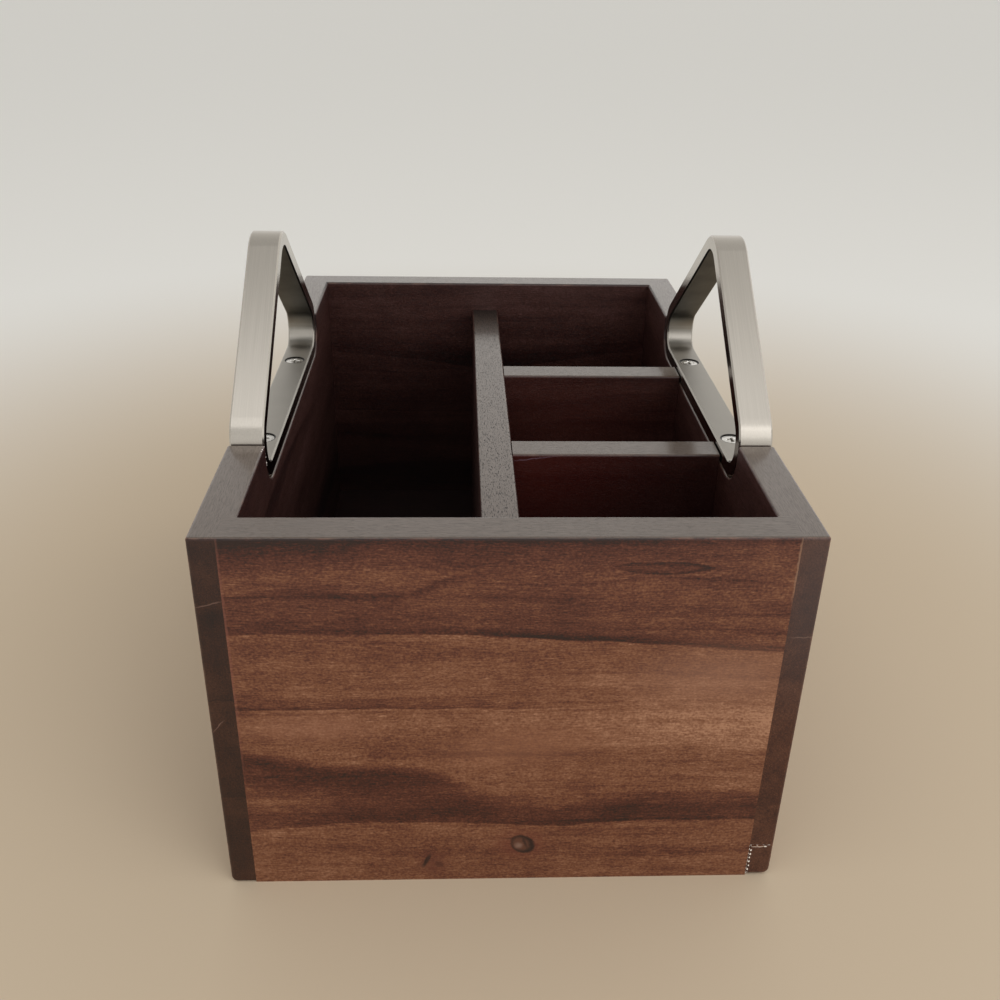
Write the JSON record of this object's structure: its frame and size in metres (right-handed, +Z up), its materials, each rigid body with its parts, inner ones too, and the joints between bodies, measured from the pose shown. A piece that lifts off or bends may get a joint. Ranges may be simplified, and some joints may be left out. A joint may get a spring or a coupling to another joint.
{
  "type": "utensil caddy with drawer",
  "caption": "Open wooden caddy with divided compartments, a shallow drawer that slides out of its base to the side, and bent steel bar loop handles on its side walls.",
  "frame": {"origin": "middle of the footprint, on the table", "axes": "+X to the right of the pictured front, the way the drawer slides out; -Y towards the pictured front; +Z up"},
  "size_m": [0.2, 0.29, 0.2043],
  "materials": {
    "case_wood": "dark red-brown stain under satin lacquer",
    "inner_wood": "dark red-brown stain under satin lacquer",
    "drawer_wood": "stained, satin",
    "drawer_plywood": "oiled plywood",
    "runner_hardwood": "waxed hardwood",
    "stainless_bar": "brushed along the bar, edges broken with a narrow flat",
    "screw_steel": "bright turned steel"
  },
  "bodies": {
    "caddy": {"front_panel": "case_wood", "back_panel": "case_wood", "left_side_panel": "case_wood", "right_side_panel": "case_wood", "floor_panel": "inner_wood", "main_divider": "inner_wood", "front_cross_divider": "inner_wood", "back_cross_divider": "inner_wood", "front_drawer_runner": "runner_hardwood", "back_drawer_runner": "runner_hardwood", "left_handle": "stainless_bar", "right_handle": "stainless_bar", "left_handle_screws": "screw_steel", "right_handle_screws": "screw_steel"},
    "drawer": {"drawer_front": "case_wood", "drawer_side_front": "drawer_wood", "drawer_side_back": "drawer_wood", "drawer_back": "drawer_wood", "drawer_bottom": "drawer_plywood"}
  },
  "joints": [
    {"name": "drawer_slide", "type": "slide", "parent": "caddy", "child": "drawer", "axis": [1, 0, 0], "range_m": [0, 0.13]}
  ]
}
